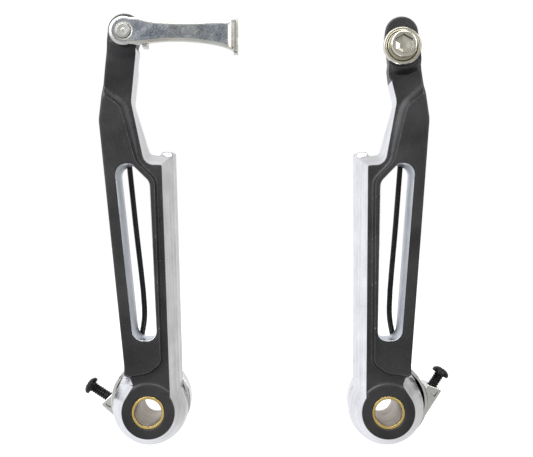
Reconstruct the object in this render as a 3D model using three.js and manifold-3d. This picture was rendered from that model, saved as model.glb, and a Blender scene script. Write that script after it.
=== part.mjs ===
// A pair of linear-pull bicycle brake arms (V-brake arms), millimetres, +Z up.
//
// The front faces look along -Y, and +X points to the right as the front is seen. The origin is
// on the left spring housing, on the face that seats against the frame, straight below the stud.
// The left arm carries the noodle link, and the right arm carries the cable anchor bolt.

import * as THREE from 'three';
import { mergeVertices } from 'three/addons/utils/BufferGeometryUtils.js';
import Module from 'manifold-3d';

const wasm = await Module();
wasm.setup();

// ---- Driving dimensions ----------------------------------------------------------------------

const STUD_SPACING = 71.5;        // between the two frame studs
const STUD_HEIGHT = 8.5;          // of both stud axes above the origin
const BORE_R = 4.0;               // bush bore, for an 8 mm frame stud
const BUSH_R = 4.95;              // outside of the brass bush
const STACK_DEPTH = 25.3;         // front face of the pivot boss to the frame
const ARM_DEPTH = 12.0;           // front face to back face of an arm
const BEVEL_DEPTH = 8.0;          // how far back the machined bevel runs
const PANEL_RISE = 1.2;           // the outer panel stands proud of the pivot boss
const HEAD_RISE = 2.4;            // the head boss stands proud of the pivot boss
const HEAD_DEPTH = 8.4;           // front of the pivot boss to the back of the head
const EDGE_INSET = 0.35;          // raised areas stop short of the arm's edge
const RIGHT_LEAN = 1.65;          // degrees that the right arm stands closer to upright

// The round heads. `foot` is where the inner side of the head ends, `lean` is how far it has moved
// outwards by then, and `boss` is the round boss in front. The right one is the longer, under the
// cable, and its neck starts `neckShift` further out.
const HEADS = {
  left: { x: -6.7, z: 113.3, r: 4.9, foot: 109.2, lean: 1.2, neckShift: 0, bossZ: 113.3, bossR: 5.4 },
  right: {
    x: -6.8, z: 112.3, r: 4.9, foot: 99.9, lean: 1.2, neckShift: -0.5, bossZ: 108.2, bossR: 8.1,
  },
};
const NECK_STEP = 1.2;            // height of the slope from the head's foot in to the neck
const HEAD_TAPER = 0.45;          // the head is this much less in radius at its back
const HEAD_BACK_FOOT = 103.5;     // above this height the back of the head is cut away

const SLOT_TOP = 73.9;
const SLOT_BOTTOM = 21.6;

const HOUSING_R = 12.3;
const HOUSING_BACK_R = 11.0;      // the cup tapers to this at the frame
const HOUSING_TAPER_DEPTH = 20.0; // where that taper starts
const HOUSING_WALL = 1.0;
const HOUSING_FLOOR = 1.8;
const HOUSING_GAP = 0.5;          // between an arm's back face and the housing's rim
const HUB_R = 6.6;

const WIRE_R = 0.85;
const COIL_R = 8.3;               // mean radius of the spring coil
const COIL_TURNS = 2.0;
const COIL_PITCH = 2.3;

const FIT = 0.06;                 // radial gap of a running fit
const SEAT = 0.05;                // gap left where one piece seats on another

const CORNER_STEPS = 5;           // straight pieces in a rounded corner
const HALF_ROUND_STEPS = 14;      // in the rounded top of the head
const BOSS_STEPS = 30;            // in the arm's edge around the bore
const ROUND_STEPS = 48;           // in a full circle
const SMALL_ROUND_STEPS = 24;     // in a full circle of a pin or a screw
const CLEAR = 5;                  // how far a cutting tool runs out past the piece it cuts

// Depths are measured back from the front face of the pivot boss.
const atDepth = (depth) => depth - STACK_DEPTH;

// ---- Finishes --------------------------------------------------------------------------------

const finish = (color, roughness, metalness) =>
  new THREE.MeshStandardMaterial({ color, roughness, metalness });

const ARM_ALLOY = finish(0x47484b, 0.45, 0.7);
const BRASS = finish(0xb98f3c, 0.35, 1.0);
const CHROME = finish(0xc9c9c6, 0.18, 1.0);
const NICKEL = finish(0x9a9b98, 0.4, 1.0);
const BLACK_OXIDE = finish(0x1d1d1f, 0.4, 0.8);
const SPRING_STEEL = finish(0x131315, 0.25, 0.8);
const PIN_STEEL = finish(0xa9abad, 0.3, 1.0);
const BLACK_NYLON = finish(0x222224, 0.7, 0.0);

// ---- Outlines in the X-Z plane ---------------------------------------------------------------

const radians = THREE.MathUtils.degToRad;
const point = (x, z) => new THREE.Vector2(x, z);

// Points on an arc, from one angle to another, in degrees from +X towards +Z.
function arc(x, z, r, from, to, steps) {
  const points = [];
  for (let i = 0; i <= steps; i += 1) {
    const angle = radians(from + (to - from) * (i / steps));
    points.push(point(x + r * Math.cos(angle), z + r * Math.sin(angle)));
  }
  return points;
}

const circle = (x, z, r, steps = ROUND_STEPS) => arc(x, z, r, 0, 360, steps).slice(0, -1);

// Rounds one corner with an arc that touches both of its sides.
function roundCorner(before, corner, after, r) {
  const a = before.clone().sub(corner).normalize();
  const b = after.clone().sub(corner).normalize();
  const half = Math.acos(THREE.MathUtils.clamp(a.dot(b), -1, 1)) / 2;
  const centre = a.clone().add(b).normalize().multiplyScalar(r / Math.sin(half)).add(corner);
  const start = a.multiplyScalar(r / Math.tan(half)).add(corner).sub(centre);
  const end = b.multiplyScalar(r / Math.tan(half)).add(corner).sub(centre);
  const sweep = Math.atan2(start.cross(end), start.dot(end));
  const points = [];
  for (let i = 0; i <= CORNER_STEPS; i += 1) {
    const turned = start.clone().rotateAround(new THREE.Vector2(), sweep * (i / CORNER_STEPS));
    points.push(turned.add(centre));
  }
  return points;
}

// Corners are [x, z] or [x, z, radius]. An open run keeps its first and last corners as they are.
function outline(corners, closed = true) {
  const places = corners.map(([x, z]) => point(x, z));
  const count = corners.length;
  return corners.flatMap(([, , r], i) => {
    const isEnd = !closed && (i === 0 || i === count - 1);
    if (!r || isEnd) return [places[i]];
    return roundCorner(places[(i + count - 1) % count], places[i], places[(i + 1) % count], r);
  });
}

// ---- Solids ----------------------------------------------------------------------------------

function toSolid(geometry) {
  const bare = geometry.index ? geometry.toNonIndexed() : geometry.clone();
  bare.deleteAttribute('normal');
  bare.deleteAttribute('uv');
  const merged = mergeVertices(bare, 1e-5);
  const mesh = new wasm.Mesh({
    numProp: 3,
    vertProperties: merged.attributes.position.array,
    triVerts: new Uint32Array(merged.index.array),
  });
  return new wasm.Manifold(mesh);
}

function toGeometry(solid) {
  const mesh = solid.getMesh();
  const geometry = new THREE.BufferGeometry();
  geometry.setAttribute('position', new THREE.BufferAttribute(mesh.vertProperties, 3));
  geometry.setIndex(new THREE.BufferAttribute(mesh.triVerts, 1));
  geometry.computeVertexNormals();
  return geometry;
}

const cut = (solid, ...tools) => tools.reduce((result, tool) => result.subtract(tool), solid);
const join = (solid, ...extras) => extras.reduce((result, extra) => result.add(extra), solid);

// A flat outline, extruded from a front depth to a back depth.
function plate(points, front, back) {
  const shape = new THREE.Shape(points);
  const geometry = new THREE.ExtrudeGeometry(shape, { depth: back - front, bevelEnabled: false });
  geometry.rotateX(Math.PI / 2);
  geometry.translate(0, atDepth(back), 0);
  return toSolid(geometry);
}

// A solid that runs through clockwise outlines with the same number of points, front to back.
function loft(sections) {
  const count = sections[0].points.length;
  const positions = sections.flatMap(({ depth, points }) =>
    points.flatMap(({ x, y }) => [x, atDepth(depth), y]));
  const index = [];
  for (let s = 0; s + 1 < sections.length; s += 1) {
    for (let i = 0; i < count; i += 1) {
      const a = s * count + i;
      const b = s * count + (i + 1) % count;
      index.push(a, b, b + count, a, b + count, a + count);
    }
  }
  const last = (sections.length - 1) * count;
  for (const [a, b, c] of THREE.ShapeUtils.triangulateShape(sections[0].points, [])) {
    index.push(a, b, c);
  }
  for (const [a, b, c] of THREE.ShapeUtils.triangulateShape(sections.at(-1).points, [])) {
    index.push(last + c, last + b, last + a);
  }
  const geometry = new THREE.BufferGeometry();
  geometry.setAttribute('position', new THREE.Float32BufferAttribute(positions, 3));
  geometry.setIndex(index);
  return toSolid(geometry);
}

// A turned piece about a line along Y through (x, z). The profile is a closed loop of
// [radius, depth] corners, starting at the front of its smallest radius.
function turned(profile, x = 0, z = 0) {
  const points = [...profile, profile[0]].map(([r, depth]) => point(r, atDepth(depth)));
  return toSolid(new THREE.LatheGeometry(points, ROUND_STEPS)).translate(x, 0, z);
}

const ring = (inner, outer, front, back, x = 0, z = 0) =>
  turned([[inner, front], [outer, front], [outer, back], [inner, back]], x, z);

const disc = (r, front, back, x = 0, z = 0) => plate(circle(x, z, r), front, back);

// ---- The arms --------------------------------------------------------------------------------
// Both arms share one blank, drawn for the left side: the pivot is at x = 0, z = 0, the inner
// side is +x and the outer side is -x.

const SLOT = outline([
  [-9.75, SLOT_TOP, 3.1],
  [-4.9, SLOT_TOP, 1.6],
  [0.55, 68.6, 3.4],
  [2.75, SLOT_BOTTOM, 2.8],
  [-4.2, SLOT_BOTTOM, 3.2],
]);

// The arm's outline at one depth, clockwise from the inner side of the pivot. `edge` holds what
// changes from the front to the back: the round boss, which ends at the angle `bossEnd` in a
// notch on the outer side, and the inner side, from the neck down past the ledge to the boss.
function armOutline(edge, head) {
  const { boss } = edge;
  const dome = { x: head.x - edge.taper, r: head.r - edge.taper };
  const bossStart = THREE.MathUtils.radToDeg(Math.acos((edge.low - boss.x) / boss.r));
  const bossArc = arc(boss.x, 0, boss.r, bossStart, edge.bossEnd, BOSS_STEPS);
  const outer = [
    [bossArc.at(-1).x, bossArc.at(-1).y],
    ...edge.notch,
    [-7.0, 11.2, 0.6],
    [-7.0, 14.0],
    [-14.55, 87.0, 9],
    [dome.x - dome.r, head.z],
  ];
  const inner = [
    [dome.x + dome.r, head.z],
    [dome.x + dome.r - head.lean, head.foot, 0.3],
    [edge.neckTop + head.neckShift, head.foot - NECK_STEP, 0.3],
    [edge.waist, 92.6, 6],
    [edge.crook, edge.ledge + 0.6, edge.crookR],
    [edge.shoulder, edge.ledge, edge.shoulderR],
    [bossArc[0].x, bossArc[0].y],
  ];
  return [
    ...bossArc,
    ...outline(outer, false).slice(1, -1),
    ...arc(dome.x, head.z, dome.r, 180, 0, HALF_ROUND_STEPS),
    ...outline(inner, false).slice(1, -1),
  ];
}

const FRONT_EDGE = {
  taper: 0,
  boss: { x: 0, r: 7.95 },
  bossEnd: -216,
  notch: [[-4.5, 7.9, 0.9], [-5.4, 10.2, 0.7]],
  neckTop: -3.4,
  waist: -5.2,
  crook: -1.2,
  crookR: 3.4,
  ledge: 73.7,
  shoulder: 4.0,
  shoulderR: 0.5,
  low: 6.5,
};

const BEVEL_EDGE = {
  taper: HEAD_TAPER,
  boss: { x: -0.5, r: 11.2 },
  bossEnd: -210,
  notch: [[-9.5, 7.5, 0.9], [-8.6, 9.1, 0.7]],
  neckTop: -3.4,
  waist: -5.2,
  crook: -0.5,
  crookR: 1.6,
  ledge: 76.8,
  shoulder: 6.4,
  shoulderR: 0.8,
  low: 8.8,
};

const BACK_EDGE = {
  taper: HEAD_TAPER,
  boss: { x: -0.6, r: 11.7 },
  bossEnd: -211,
  notch: [[-9.9, 7.7, 0.9], [-8.9, 9.3, 0.7]],
  neckTop: -3.6,
  waist: -5.4,
  crook: -0.6,
  crookR: 1.6,
  ledge: 76.8,
  shoulder: 7.2,
  shoulderR: 0.8,
  low: 9.4,
};

// The raised panel on the outer side of the front face, which surrounds the slot.
const PANEL = outline([
  [-13.4 + EDGE_INSET, 94.0],
  [-8.2, 91.0, 5],
  [-3.6, 74.6, 6],
  [2.0, 69.2, 4],
  [3.9, 15.0, 2.6],
  [0.4, 12.0, 6],
  [-6.3 + EDGE_INSET, 11.6],
  [-7.1 + EDGE_INSET, 14.0],
  [-14.5 + EDGE_INSET, 87.0, 9],
]);

// The small hook that stands above the ledge at the back of the inner side.
const LEDGE_LIP = outline([
  [3.2, 75.0],
  [2.8, 78.2, 1.0],
  [6.9, 78.4, 1.3],
  [6.9, 75.0],
]);
const LEDGE_LIP_FRONT = 8.5;

const HOOK_PIN = { x: -10.6, z: 80.5, r: 1.5, front: 8.0, back: 16.2 };

function armSolid(side) {
  const head = HEADS[side];
  const blank = loft([
    { depth: 0, points: armOutline(FRONT_EDGE, head) },
    { depth: BEVEL_DEPTH, points: armOutline(BEVEL_EDGE, head) },
    { depth: ARM_DEPTH, points: armOutline(BACK_EDGE, head) },
  ]);
  const insetR = head.r - EDGE_INSET;
  const headArea = [
    ...arc(head.x, head.z, insetR, 0, 180, HALF_ROUND_STEPS),
    point(head.x - insetR - head.lean, head.foot - CLEAR),
    point(head.x + insetR - head.lean, head.foot - CLEAR),
  ];
  const headBoss = disc(head.bossR, -HEAD_RISE, 1, head.x, head.bossZ)
    .intersect(plate(headArea, -HEAD_RISE - 1, 2));
  const fastener = side === 'left' ? RIVET : ANCHOR;
  const front = -HEAD_RISE - CLEAR;
  const back = ARM_DEPTH + CLEAR;
  const behindHead = circle(head.x, HEAD_BACK_FOOT + 20, 20);
  return cut(
    join(
      blank,
      plate(PANEL, -PANEL_RISE, 1),
      headBoss,
      plate(LEDGE_LIP, LEDGE_LIP_FRONT, ARM_DEPTH),
    ),
    plate(SLOT, front, back),
    disc(BUSH_R + SEAT, front, back),
    plate(behindHead, HEAD_DEPTH, back),
    disc(fastener.shankR + FIT, front, back, fastener.x, fastener.z),
    disc(HOOK_PIN.r + SEAT, HOOK_PIN.front, back, HOOK_PIN.x, HOOK_PIN.z),
  );
}

// ---- Pivot: bush, washer, housing, spring and screw ------------------------------------------

const RIM_DEPTH = ARM_DEPTH + HOUSING_GAP;
const WASHER_THICKNESS = 0.8;
const WASHER_BACK = ARM_DEPTH + SEAT + WASHER_THICKNESS;
const FLOOR_DEPTH = STACK_DEPTH - HOUSING_FLOOR;

const BUSH_CHAMFER = 0.35;
const bushSolid = () => turned([
  [BORE_R, BUSH_CHAMFER],
  [BORE_R + BUSH_CHAMFER, 0],
  [BUSH_R, 0],
  [BUSH_R, STACK_DEPTH - SEAT],
  [BORE_R, STACK_DEPTH - SEAT],
]);

const WASHER_R = HUB_R + 0.8;
const washerSolid = () => ring(BUSH_R + FIT, WASHER_R, ARM_DEPTH + SEAT, WASHER_BACK);

// A steel pin that enters the spring hole of the frame's boss.
const FRAME_PIN = { x: 0, z: 9.3, r: 1.4, length: 5.0 };

const framePinSolid = () => plate(
  circle(FRAME_PIN.x, FRAME_PIN.z, FRAME_PIN.r, SMALL_ROUND_STEPS),
  FLOOR_DEPTH + 0.2,
  STACK_DEPTH + FRAME_PIN.length,
);

// The tension screw is drawn about its own axis, along +X from the underside of its head. It
// presses on the spring's coil from the side, through a lug that stands out from the cup.
const SCREW = { headR: 2.75, headHeight: 2.1, r: 1.65, length: 9.0, depth: 17.3 };
const LUG = {
  reachAbove: 12.7, reachBelow: 13.9, inside: 2.0, above: 2.0, below: 2.8, depth: 2.9, boreEnd: 6.0,
};
const LEG_GATE = { from: 142, to: 78, depth: 3.2 };   // opening in the rim for the spring's leg

function screwSolid() {
  const profile = [
    [0, -SCREW.headHeight],
    [1.6, -SCREW.headHeight],
    [2.4, -SCREW.headHeight + 0.5],
    [SCREW.headR, -SCREW.headHeight + 1.2],
    [SCREW.headR, 0],
    [SCREW.r, 0],
    [SCREW.r, SCREW.length],
    [0, SCREW.length],
  ].map(([r, along]) => point(r, along));
  const geometry = new THREE.LatheGeometry(profile, SMALL_ROUND_STEPS);
  geometry.rotateZ(-Math.PI / 2);
  return toSolid(geometry);
}

// A cup around the spring coil, with a lug for the tension screw. The lug is drawn with the
// screw's axis along +X, `offset` below the stud axis, and then turned by `angle`.
function housingSolid(screw) {
  const { x, z } = screw.cup;
  const wall = turned([
    [0, RIM_DEPTH],
    [HOUSING_R, RIM_DEPTH],
    [HOUSING_R, HOUSING_TAPER_DEPTH],
    [HOUSING_BACK_R, STACK_DEPTH],
    [0, STACK_DEPTH],
  ], x, z);
  const cavity = turned([
    [0, RIM_DEPTH - CLEAR],
    [HOUSING_R - HOUSING_WALL, RIM_DEPTH - CLEAR],
    [HOUSING_R - HOUSING_WALL, HOUSING_TAPER_DEPTH],
    [HOUSING_BACK_R - HOUSING_WALL, FLOOR_DEPTH],
    [0, FLOOR_DEPTH],
  ], x, z);
  const hub = disc(HUB_R, WASHER_BACK + SEAT, STACK_DEPTH);
  const lugPoints = outline([
    [-LUG.reachBelow, -screw.offset - LUG.below, 0.8],
    [-LUG.reachAbove, -screw.offset + LUG.above, 0.6],
    [-LUG.inside, -screw.offset + LUG.above],
    [-LUG.inside, -screw.offset - LUG.below - screw.spread],
  ]);
  const lugFront = SCREW.depth - LUG.depth;
  const lug = plate(lugPoints, lugFront, STACK_DEPTH).rotate(0, screw.angle, 0);
  const cup = join(cut(join(wall, lug), cavity), hub);
  const drillLength = HOUSING_R + CLEAR;
  const drill = new THREE.CylinderGeometry(
    SCREW.r + FIT, SCREW.r + FIT, drillLength, SMALL_ROUND_STEPS);
  drill.rotateZ(Math.PI / 2);
  drill.translate(-LUG.boreEnd - drillLength / 2, atDepth(SCREW.depth), -screw.offset);
  const gateSector = [point(0, 0), ...arc(0, 0, HOUSING_R + CLEAR, LEG_GATE.from, LEG_GATE.to, 8)];
  const gate = cut(
    plate(gateSector, RIM_DEPTH - CLEAR, RIM_DEPTH + LEG_GATE.depth),
    disc(HUB_R + 1, RIM_DEPTH - 2 * CLEAR, STACK_DEPTH),
  );
  return cut(
    cup,
    disc(BUSH_R + FIT, RIM_DEPTH - CLEAR, STACK_DEPTH + CLEAR),
    toSolid(drill).rotate(0, screw.angle, 0),
    gate,
    disc(FRAME_PIN.r + SEAT, FLOOR_DEPTH - CLEAR, STACK_DEPTH + CLEAR, FRAME_PIN.x, FRAME_PIN.z),
  );
}

// The return spring: a coil around the housing's hub, a kinked leg that runs up behind the arm.
const LEG = { kink: point(-2.5, 27.3), top: point(-8.65, 85.0), depth: 13.75 };
const WIRE_SIDES = 8;
const WIRE_STEPS = 96;            // straight pieces along the whole wire

function springSolid() {
  const coilFront = LEG.depth + 0.6;
  const place = (x, z, depth) => new THREE.Vector3(x, atDepth(depth), z);
  const kink = place(LEG.kink.x, LEG.kink.y, LEG.depth);
  const top = place(LEG.top.x, LEG.top.y, LEG.depth);

  // The coil leaves the hub where a straight line to the kink touches it.
  const touch = LEG.kink.angle() + Math.acos(COIL_R / LEG.kink.length());
  const stepsPerTurn = 40;
  const coil = [];
  for (let i = 0; i <= stepsPerTurn * COIL_TURNS; i += 1) {
    const turn = COIL_TURNS - i / stepsPerTurn;
    const angle = touch + turn * 2 * Math.PI;
    const depth = coilFront + turn * COIL_PITCH;
    coil.push(place(COIL_R * Math.cos(angle), COIL_R * Math.sin(angle), depth));
  }
  const end = coil.at(-1);
  const leg = [
    end.clone().lerp(kink, 0.35),
    end.clone().lerp(kink, 0.9),
    kink.clone().lerp(top, 0.05),
    kink.clone().lerp(top, 0.5),
    top,
  ];
  const geometry = new THREE.ExtrudeGeometry(new THREE.Shape(circle(0, 0, WIRE_R, WIRE_SIDES)), {
    steps: WIRE_STEPS,
    extrudePath: new THREE.CatmullRomCurve3([...coil, ...leg], false, 'centripetal'),
    bevelEnabled: false,
  });
  return toSolid(geometry);
}

const hookPinSolid = () => plate(
  circle(HOOK_PIN.x, HOOK_PIN.z, HOOK_PIN.r, SMALL_ROUND_STEPS),
  HOOK_PIN.front + SEAT,
  HOOK_PIN.back,
);

// ---- Noodle link -----------------------------------------------------------------------------

const RIVET = {
  x: -6.7, z: 112.7, r: 2.25, headHeight: 0.55, shankR: 1.9, peenR: 2.9, peenHeight: 0.9,
};
const LINK = {
  front: -4.9,
  back: -HEAD_RISE - 0.35,
  eyeR: 4.25,
  length: 33.4,
  waistTop: 2.75,
  waistBottom: -3.1,
  endTop: 3.0,
  endBottom: -6.4,
  wall: 1.25,                     // thickness of the end wall, which seats the noodle
  wallFront: 1.3,                 // how far the end wall stands forward of the face
  wallBack: 7.2,                  // how far it reaches back
  keyR: 2.3,
  stopBack: 3.6,
};

// The link is drawn with its eye at the origin and its length along +X.
function linkSolid() {
  const wallX = LINK.length - LINK.wall;
  const top = [point(4.0, 3.85), point(9, LINK.waistTop), point(19, LINK.waistTop - 0.35)];
  const bottom = [
    point(22.5, LINK.waistBottom - 0.4),
    point(13, LINK.waistBottom),
    point(3.6, -4.1),
  ];
  const upperEdge = new THREE.SplineCurve([...top, point(wallX, LINK.endTop)]).getPoints(14);
  const corner = point(wallX, LINK.endBottom + 0.6);
  const flare = point(29.5, LINK.waistBottom - 1.7);
  const lowerEdge = new THREE.SplineCurve([corner, flare, ...bottom]).getPoints(18);
  const face = plate([...upperEdge, ...lowerEdge, ...arc(0, 0, LINK.eyeR, -68, -292, 20)],
    LINK.front, LINK.back);

  // The end wall seats the noodle: straight at the front, round behind, with a keyed hole.
  const wallFront = LINK.front - LINK.wallFront;
  const wallBack = LINK.back + LINK.wallBack;
  const seatZ = (LINK.endTop + LINK.endBottom) / 2;
  const seatR = (LINK.endTop - LINK.endBottom) / 2;
  const side = new THREE.Shape([
    point(wallFront, LINK.endBottom),
    ...arc(wallBack - seatR, seatZ, seatR, -90, 90, 16),
    point(wallFront, LINK.endTop),
  ]);
  const seatDepth = wallBack - seatR;
  side.holes.push(new THREE.Path([
    ...arc(seatDepth, seatZ, LINK.keyR, 32, 328, 20),
    point(wallBack - 1.1, seatZ - 1.2),
    point(wallBack - 1.1, seatZ + 1.2),
  ]));
  const wall = new THREE.ExtrudeGeometry(side, { depth: LINK.wall, bevelEnabled: false });
  const basis = new THREE.Matrix4().makeBasis(
    new THREE.Vector3(0, 1, 0), new THREE.Vector3(0, 0, 1), new THREE.Vector3(1, 0, 0));
  wall.applyMatrix4(basis);
  wall.translate(wallX, atDepth(0), 0);

  // The stop is folded back from the lower edge, and meets the side of the head.
  const stop = outline([[5.4, -4.6], [5.4, -2.6], [6.9, -2.6], [6.9, -4.6]]);
  return cut(
    join(face, toSolid(wall), plate(stop, LINK.back - 0.6, LINK.back + LINK.stopBack)),
    disc(RIVET.shankR + FIT, LINK.front - CLEAR, LINK.back + CLEAR),
  );
}

const rivetSolid = () => turned([
  [0, LINK.front - RIVET.headHeight],
  [RIVET.r, LINK.front - RIVET.headHeight],
  [RIVET.r, LINK.front - SEAT],
  [RIVET.shankR, LINK.front - SEAT],
  [RIVET.shankR, HEAD_DEPTH + SEAT],
  [RIVET.peenR, HEAD_DEPTH + SEAT],
  [RIVET.peenR - 0.5, HEAD_DEPTH + RIVET.peenHeight],
  [0, HEAD_DEPTH + RIVET.peenHeight],
], RIVET.x, RIVET.z);

// ---- Cable anchor ----------------------------------------------------------------------------

const ANCHOR = {
  x: -6.7,
  z: 108.2,
  shankR: 2.95,
  shankBack: HEAD_DEPTH + 1.6,
  headR: 3.85,
  headHeight: 3.9,
  hexFlats: 5.0,
  hexDepth: 2.8,
};
const CLAMP = { r: 5.6, rimR: 4.95, thickness: 1.9, rim: 0.7 };
const CLAMP_BACK = -HEAD_RISE - SEAT;
const CLAMP_FRONT = CLAMP_BACK - CLAMP.thickness;

const clampWasherSolid = () => turned([
  [ANCHOR.shankR + FIT, CLAMP_FRONT + CLAMP.rim],
  [CLAMP.rimR - 0.6, CLAMP_FRONT + CLAMP.rim],
  [CLAMP.rimR, CLAMP_FRONT],
  [CLAMP.r - 0.3, CLAMP_FRONT],
  [CLAMP.r, CLAMP_FRONT + 0.4],
  [CLAMP.r, CLAMP_BACK],
  [ANCHOR.shankR + FIT, CLAMP_BACK],
], ANCHOR.x, ANCHOR.z);

function anchorBoltSolid() {
  const under = CLAMP_FRONT + CLAMP.rim - SEAT;
  const top = under - ANCHOR.headHeight;
  const hexR = ANCHOR.hexFlats / Math.sqrt(3);
  const hexagon = arc(ANCHOR.x, ANCHOR.z, hexR, 90, 450, 6).slice(0, -1);
  return cut(
    turned([
      [0, top],
      [ANCHOR.headR - 0.5, top],
      [ANCHOR.headR, top + 0.5],
      [ANCHOR.headR, under],
      [ANCHOR.shankR, under],
      [ANCHOR.shankR, ANCHOR.shankBack],
      [0, ANCHOR.shankBack],
    ], ANCHOR.x, ANCHOR.z),
    plate(hexagon, top - CLEAR, top + ANCHOR.hexDepth),
  );
}

// ---- Assembly --------------------------------------------------------------------------------

// Mirrors a solid from the left side to the right side.
const mirrored = (solid) => solid.scale([-1, 1, 1]);

function named(name, solid, material) {
  const mesh = new THREE.Mesh(toGeometry(solid), material.clone());
  mesh.name = name;
  return mesh;
}

const brake = new THREE.Group();

// How far each screw's axis is turned from level and stands off the stud, and how far from the
// stud the underside of its head is, along that axis. The cup is eccentric, with its centre at
// `cup` from the stud, and the lug grows wider by `spread` towards it.
const SCREWS = {
  left: { angle: 33, offset: 6.4, reach: 19.0, cup: { x: -0.7, z: 1.5 }, spread: 1.6 },
  right: { angle: 57, offset: 10.4, reach: 17.4, cup: { x: -1.5, z: 1.0 }, spread: 0 },
};

function addSide(side) {
  const isLeft = side === 'left';
  const place = isLeft ? (solid) => solid : mirrored;
  const screw = SCREWS[side];

  const fixed = new THREE.Group();
  fixed.position.set(isLeft ? 0 : STUD_SPACING, 0, STUD_HEIGHT);
  fixed.add(named(`${side}_spring_housing`, place(housingSolid(screw)), CHROME));
  fixed.add(named(`${side}_housing_pin`, place(framePinSolid()), PIN_STEEL));
  const alignedScrew = screwSolid()
    .translate(-screw.reach, atDepth(SCREW.depth), -screw.offset)
    .rotate(0, screw.angle, 0);
  fixed.add(named(`${side}_tension_screw`, place(alignedScrew), BLACK_OXIDE));

  const swinging = new THREE.Group();
  swinging.position.copy(fixed.position);
  swinging.rotation.y = isLeft ? 0 : radians(-RIGHT_LEAN);
  swinging.add(named(`${side}_arm`, place(armSolid(side)), ARM_ALLOY));
  swinging.add(named(`${side}_pivot_bush`, place(bushSolid()), BRASS));
  swinging.add(named(`${side}_thrust_washer`, place(washerSolid()), BLACK_NYLON));
  swinging.add(named(`${side}_spring_hook_pin`, place(hookPinSolid()), PIN_STEEL));
  swinging.add(named(`${side}_return_spring`, place(springSolid()), SPRING_STEEL));

  brake.add(fixed, swinging);
  return swinging;
}

const leftArm = addSide('left');
const rightArm = addSide('right');

const link = named('noodle_link', linkSolid(), NICKEL);
link.position.set(RIVET.x, 0, RIVET.z);
leftArm.add(link, named('link_rivet', rivetSolid(), NICKEL));

rightArm.add(named('clamp_washer', mirrored(clampWasherSolid()), CHROME));
rightArm.add(named('anchor_bolt', mirrored(anchorBoltSolid()), CHROME));

export default brake;
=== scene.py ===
"""A pair of linear-pull bicycle brake arms, built over their CAD frame.

Shapes are drawn in millimetres in one arm's own frame: x towards the other arm, depth back from
the front of the pivot boss, z up from the stud. Both arms share the drawings made for the left.
"""
import math

import bmesh
import bpy
import numpy as np
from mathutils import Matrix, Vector
from mathutils.geometry import delaunay_2d_cdt


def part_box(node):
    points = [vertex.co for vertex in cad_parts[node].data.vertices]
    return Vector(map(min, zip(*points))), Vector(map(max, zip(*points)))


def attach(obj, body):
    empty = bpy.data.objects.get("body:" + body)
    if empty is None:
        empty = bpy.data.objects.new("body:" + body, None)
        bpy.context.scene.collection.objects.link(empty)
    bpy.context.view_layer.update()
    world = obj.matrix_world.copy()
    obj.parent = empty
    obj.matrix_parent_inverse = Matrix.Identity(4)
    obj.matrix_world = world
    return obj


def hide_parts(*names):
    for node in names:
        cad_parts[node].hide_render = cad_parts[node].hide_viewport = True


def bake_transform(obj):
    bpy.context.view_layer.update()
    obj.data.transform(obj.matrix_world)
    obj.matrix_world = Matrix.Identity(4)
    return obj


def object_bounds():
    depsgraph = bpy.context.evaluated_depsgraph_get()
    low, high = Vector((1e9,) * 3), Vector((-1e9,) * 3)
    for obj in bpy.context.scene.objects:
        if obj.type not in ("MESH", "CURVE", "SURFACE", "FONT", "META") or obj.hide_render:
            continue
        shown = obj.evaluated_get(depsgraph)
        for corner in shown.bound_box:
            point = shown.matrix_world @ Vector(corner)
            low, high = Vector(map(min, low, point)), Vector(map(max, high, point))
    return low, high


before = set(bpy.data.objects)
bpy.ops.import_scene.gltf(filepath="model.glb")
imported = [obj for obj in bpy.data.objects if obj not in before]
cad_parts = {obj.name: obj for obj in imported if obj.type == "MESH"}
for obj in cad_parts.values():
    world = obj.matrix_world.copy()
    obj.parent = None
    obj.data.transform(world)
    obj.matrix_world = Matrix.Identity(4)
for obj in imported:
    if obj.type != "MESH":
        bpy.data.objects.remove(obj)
cad_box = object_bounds()

MM = 0.001

# ---- Driving dimensions, in millimetres ----

RIGHT_LEAN = 1.65                 # degrees that the right arm stands closer to upright
STACK_DEPTH = 25.3                # front of the pivot boss to the frame
ARM_DEPTH = 12.0
BEVEL_DEPTH = 8.0                 # how far back the machined bevel runs
LIP_DEPTH = 9.4                   # where the ledge's lip has its full height
PANEL_RISE = 1.2
HEAD_RISE = 2.4
HEAD_DEPTH = 8.4
HEAD_BACK_FOOT = 103.5            # above this height the back of the head is cut away
HEAD_TAPER = 0.45                 # the head is this much less in radius at its back
NECK_STEP = 1.2                   # height of the slope from the head's foot in to the neck

# The round heads. `foot` is where the inner side of the head ends, `lean` is how far it has moved
# outwards by then, `neck` shifts the top of the neck, `boss` is the round step in front, and
# `ramp` is how far the neck's face has risen when it meets that step.
HEADS = {
    "left": {"at": (-6.7, 113.3), "r": 4.9, "foot": 109.2, "lean": 1.2, "neck": 0.0,
             "boss": (-6.7, 113.3), "boss_r": 5.4, "boss_slope": 2.8, "ramp": 1.5},
    "right": {"at": (-6.8, 112.3), "r": 4.9, "foot": 99.9, "lean": 1.2, "neck": -0.5,
              "boss": (-6.7, 108.2), "boss_r": 6.3, "boss_slope": 1.9, "ramp": 0.0},
}
BOSS_FACE_R = 8.35                # the round face around the bore
BOSS_STEP = 0.6                   # width of the step down from it
STRIP_DROP = 0.4                  # how far the face beside the panel lies below that round face

BORE_R = 4.0
BUSH_R = 4.95
FIT = 0.06                        # room around a round piece in its hole
SEAT = 0.05                       # room between two faces that meet

BACK_EDGE_R = 0.3                 # rounds the arm's edge at the back

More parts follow.
